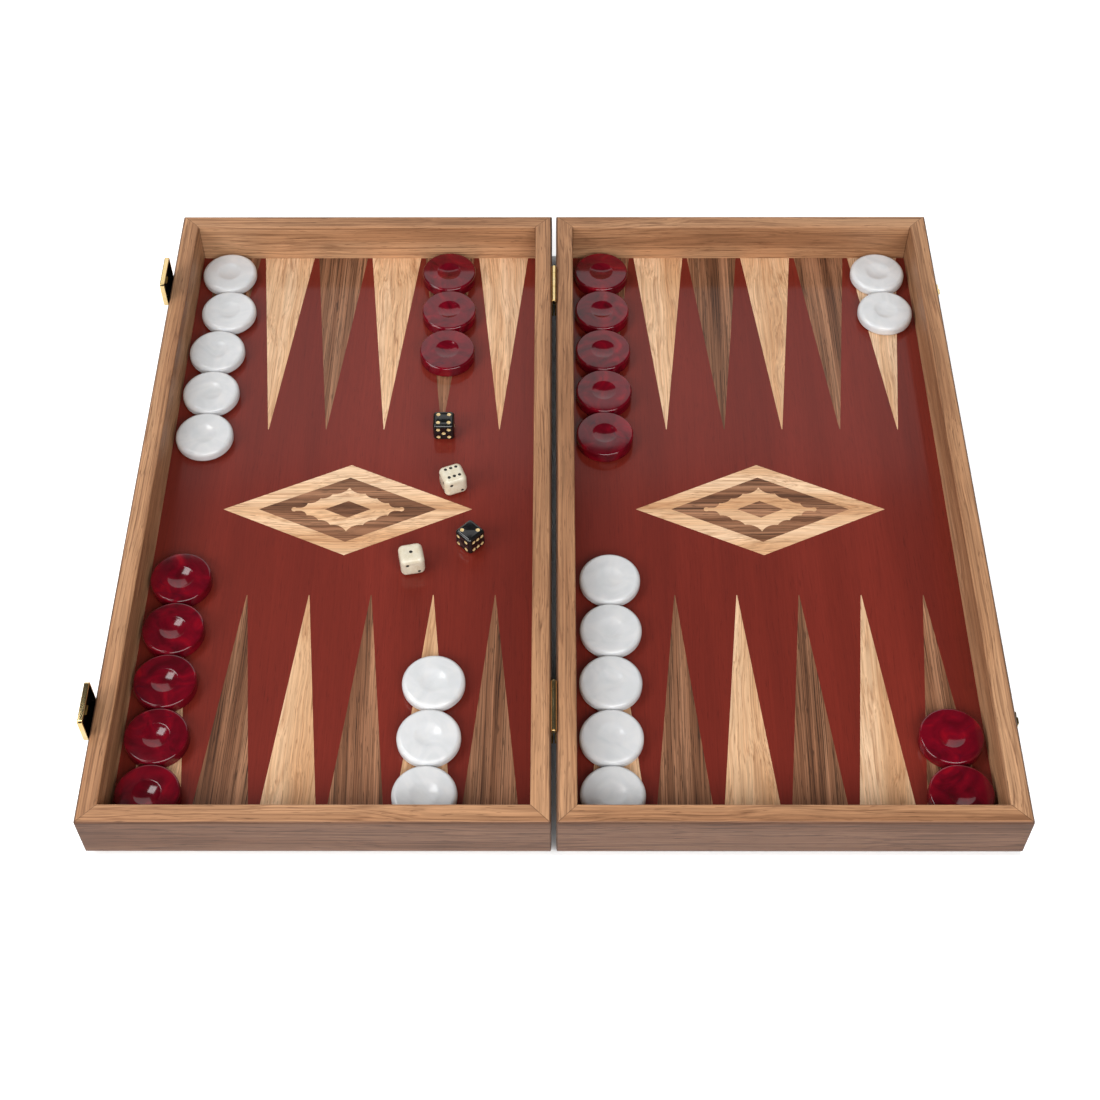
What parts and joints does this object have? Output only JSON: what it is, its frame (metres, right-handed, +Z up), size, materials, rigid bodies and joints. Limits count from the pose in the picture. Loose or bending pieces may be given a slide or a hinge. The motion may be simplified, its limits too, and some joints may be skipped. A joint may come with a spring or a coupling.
{
  "type": "backgammon set",
  "caption": "Folding wooden backgammon board of two hinged trays with inlaid points and pan latches, set up with marbled white and red checkers and black and ivory dice.",
  "frame": {"origin": "on the table, under the middle of the hinge line between the two open trays", "axes": "+X across the hinge line towards the tray without latches, +Y along the hinge line towards the far side, +Z up"},
  "size_m": [0.5264, 0.48, 0.0529],
  "materials": {
    "walnut": "satin",
    "plywood": "satin",
    "red_veneer": "lacquered",
    "light_veneer": "lacquered",
    "dark_veneer": "lacquered",
    "brass": "polished",
    "pearl_white": "pearl",
    "marbled_red": "marbled",
    "black_plastic": "polished",
    "ivory_plastic": "polished"
  },
  "bodies": {
    "left_half": {"left_near_rail": "walnut", "left_far_rail": "walnut", "left_outer_rail": "walnut", "left_hinge_rail": "walnut", "left_base_panel": "plywood", "left_playing_field": "red_veneer", "left_light_inlays": "light_veneer", "left_dark_inlays": "dark_veneer", "left_screws": "brass", "hinge_left_leaves": "brass", "hinge_pins": "brass", "latch_bases": "brass", "latch_pins": "brass"},
    "right_half": {"right_near_rail": "walnut", "right_far_rail": "walnut", "right_outer_rail": "walnut", "right_hinge_rail": "walnut", "right_base_panel": "plywood", "right_playing_field": "red_veneer", "right_light_inlays": "light_veneer", "right_dark_inlays": "dark_veneer", "right_screws": "brass", "hinge_right_leaves": "brass", "latch_keepers": "brass"},
    "far_latch": {"far_latch_flap": "brass"},
    "near_latch": {"near_latch_flap": "brass"},
    "white_checker_01": {"white_checker_01": "pearl_white"},
    "white_checker_02": {"white_checker_02": "pearl_white"},
    "white_checker_03": {"white_checker_03": "pearl_white"},
    "white_checker_04": {"white_checker_04": "pearl_white"},
    "white_checker_05": {"white_checker_05": "pearl_white"},
    "white_checker_06": {"white_checker_06": "pearl_white"},
    "white_checker_07": {"white_checker_07": "pearl_white"},
    "white_checker_08": {"white_checker_08": "pearl_white"},
    "white_checker_09": {"white_checker_09": "pearl_white"},
    "white_checker_10": {"white_checker_10": "pearl_white"},
    "white_checker_11": {"white_checker_11": "pearl_white"},
    "white_checker_12": {"white_checker_12": "pearl_white"},
    "white_checker_13": {"white_checker_13": "pearl_white"},
    "white_checker_14": {"white_checker_14": "pearl_white"},
    "white_checker_15": {"white_checker_15": "pearl_white"},
    "red_checker_01": {"red_checker_01": "marbled_red"},
    "red_checker_02": {"red_checker_02": "marbled_red"},
    "red_checker_03": {"red_checker_03": "marbled_red"},
    "red_checker_04": {"red_checker_04": "marbled_red"},
    "red_checker_05": {"red_checker_05": "marbled_red"},
    "red_checker_06": {"red_checker_06": "marbled_red"},
    "red_checker_07": {"red_checker_07": "marbled_red"},
    "red_checker_08": {"red_checker_08": "marbled_red"},
    "red_checker_09": {"red_checker_09": "marbled_red"},
    "red_checker_10": {"red_checker_10": "marbled_red"},
    "red_checker_11": {"red_checker_11": "marbled_red"},
    "red_checker_12": {"red_checker_12": "marbled_red"},
    "red_checker_13": {"red_checker_13": "marbled_red"},
    "red_checker_14": {"red_checker_14": "marbled_red"},
    "red_checker_15": {"red_checker_15": "marbled_red"},
    "black_die_1": {"black_die_1": "black_plastic"},
    "ivory_die_1": {"ivory_die_1": "ivory_plastic"},
    "black_die_2": {"black_die_2": "black_plastic"},
    "ivory_die_2": {"ivory_die_2": "ivory_plastic"}
  },
  "joints": [
    {"name": "fold", "type": "hinge", "parent": "left_half", "child": "right_half", "pos_m": [0, 0, 0.03825], "axis": [0, 1, 0], "range_deg": [-180, 0]},
    {"name": "far_latch_swing", "type": "hinge", "parent": "left_half", "child": "far_latch", "pos_m": [-0.2626, 0.1695, 0.0317], "axis": [0, -1, 0], "range_deg": [0, 170]},
    {"name": "near_latch_swing", "type": "hinge", "parent": "left_half", "child": "near_latch", "pos_m": [-0.2626, -0.1725, 0.0317], "axis": [0, -1, 0], "range_deg": [0, 170]},
    {"name": "white_checker_01_lift", "type": "slide", "parent": "left_half", "child": "white_checker_01", "axis": [0, 0, 1], "range_m": [0, 0.05]},
    {"name": "white_checker_02_lift", "type": "slide", "parent": "left_half", "child": "white_checker_02", "axis": [0, 0, 1], "range_m": [0, 0.05]},
    {"name": "white_checker_03_lift", "type": "slide", "parent": "left_half", "child": "white_checker_03", "axis": [0, 0, 1], "range_m": [0, 0.05]},
    {"name": "white_checker_04_lift", "type": "slide", "parent": "left_half", "child": "white_checker_04", "axis": [0, 0, 1], "range_m": [0, 0.05]},
    {"name": "white_checker_05_lift", "type": "slide", "parent": "left_half", "child": "white_checker_05", "axis": [0, 0, 1], "range_m": [0, 0.05]},
    {"name": "white_checker_06_lift", "type": "slide", "parent": "right_half", "child": "white_checker_06", "axis": [0, 0, 1], "range_m": [0, 0.05]},
    {"name": "white_checker_07_lift", "type": "slide", "parent": "right_half", "child": "white_checker_07", "axis": [0, 0, 1], "range_m": [0, 0.05]},
    {"name": "white_checker_08_lift", "type": "slide", "parent": "left_half", "child": "white_checker_08", "axis": [0, 0, 1], "range_m": [0, 0.05]},
    {"name": "white_checker_09_lift", "type": "slide", "parent": "left_half", "child": "white_checker_09", "axis": [0, 0, 1], "range_m": [0, 0.05]},
    {"name": "white_checker_10_lift", "type": "slide", "parent": "left_half", "child": "white_checker_10", "axis": [0, 0, 1], "range_m": [0, 0.05]},
    {"name": "white_checker_11_lift", "type": "slide", "parent": "right_half", "child": "white_checker_11", "axis": [0, 0, 1], "range_m": [0, 0.05]},
    {"name": "white_checker_12_lift", "type": "slide", "parent": "right_half", "child": "white_checker_12", "axis": [0, 0, 1], "range_m": [0, 0.05]},
    {"name": "white_checker_13_lift", "type": "slide", "parent": "right_half", "child": "white_checker_13", "axis": [0, 0, 1], "range_m": [0, 0.05]},
    {"name": "white_checker_14_lift", "type": "slide", "parent": "right_half", "child": "white_checker_14", "axis": [0, 0, 1], "range_m": [0, 0.05]},
    {"name": "white_checker_15_lift", "type": "slide", "parent": "right_half", "child": "white_checker_15", "axis": [0, 0, 1], "range_m": [0, 0.05]},
    {"name": "red_checker_01_lift", "type": "slide", "parent": "left_half", "child": "red_checker_01", "axis": [0, 0, 1], "range_m": [0, 0.05]},
    {"name": "red_checker_02_lift", "type": "slide", "parent": "left_half", "child": "red_checker_02", "axis": [0, 0, 1], "range_m": [0, 0.05]},
    {"name": "red_checker_03_lift", "type": "slide", "parent": "left_half", "child": "red_checker_03", "axis": [0, 0, 1], "range_m": [0, 0.05]},
    {"name": "red_checker_04_lift", "type": "slide", "parent": "right_half", "child": "red_checker_04", "axis": [0, 0, 1], "range_m": [0, 0.05]},
    {"name": "red_checker_05_lift", "type": "slide", "parent": "right_half", "child": "red_checker_05", "axis": [0, 0, 1], "range_m": [0, 0.05]},
    {"name": "red_checker_06_lift", "type": "slide", "parent": "right_half", "child": "red_checker_06", "axis": [0, 0, 1], "range_m": [0, 0.05]},
    {"name": "red_checker_07_lift", "type": "slide", "parent": "right_half", "child": "red_checker_07", "axis": [0, 0, 1], "range_m": [0, 0.05]},
    {"name": "red_checker_08_lift", "type": "slide", "parent": "right_half", "child": "red_checker_08", "axis": [0, 0, 1], "range_m": [0, 0.05]},
    {"name": "red_checker_09_lift", "type": "slide", "parent": "left_half", "child": "red_checker_09", "axis": [0, 0, 1], "range_m": [0, 0.05]},
    {"name": "red_checker_10_lift", "type": "slide", "parent": "left_half", "child": "red_checker_10", "axis": [0, 0, 1], "range_m": [0, 0.05]},
    {"name": "red_checker_11_lift", "type": "slide", "parent": "left_half", "child": "red_checker_11", "axis": [0, 0, 1], "range_m": [0, 0.05]},
    {"name": "red_checker_12_lift", "type": "slide", "parent": "left_half", "child": "red_checker_12", "axis": [0, 0, 1], "range_m": [0, 0.05]},
    {"name": "red_checker_13_lift", "type": "slide", "parent": "left_half", "child": "red_checker_13", "axis": [0, 0, 1], "range_m": [0, 0.05]},
    {"name": "red_checker_14_lift", "type": "slide", "parent": "right_half", "child": "red_checker_14", "axis": [0, 0, 1], "range_m": [0, 0.05]},
    {"name": "red_checker_15_lift", "type": "slide", "parent": "right_half", "child": "red_checker_15", "axis": [0, 0, 1], "range_m": [0, 0.05]},
    {"name": "black_die_1_lift", "type": "slide", "parent": "left_half", "child": "black_die_1", "axis": [0, 0, 1], "range_m": [0, 0.05]},
    {"name": "ivory_die_1_lift", "type": "slide", "parent": "left_half", "child": "ivory_die_1", "axis": [0, 0, 1], "range_m": [0, 0.05]},
    {"name": "black_die_2_lift", "type": "slide", "parent": "left_half", "child": "black_die_2", "axis": [0, 0, 1], "range_m": [0, 0.05]},
    {"name": "ivory_die_2_lift", "type": "slide", "parent": "left_half", "child": "ivory_die_2", "axis": [0, 0, 1], "range_m": [0, 0.05]}
  ]
}
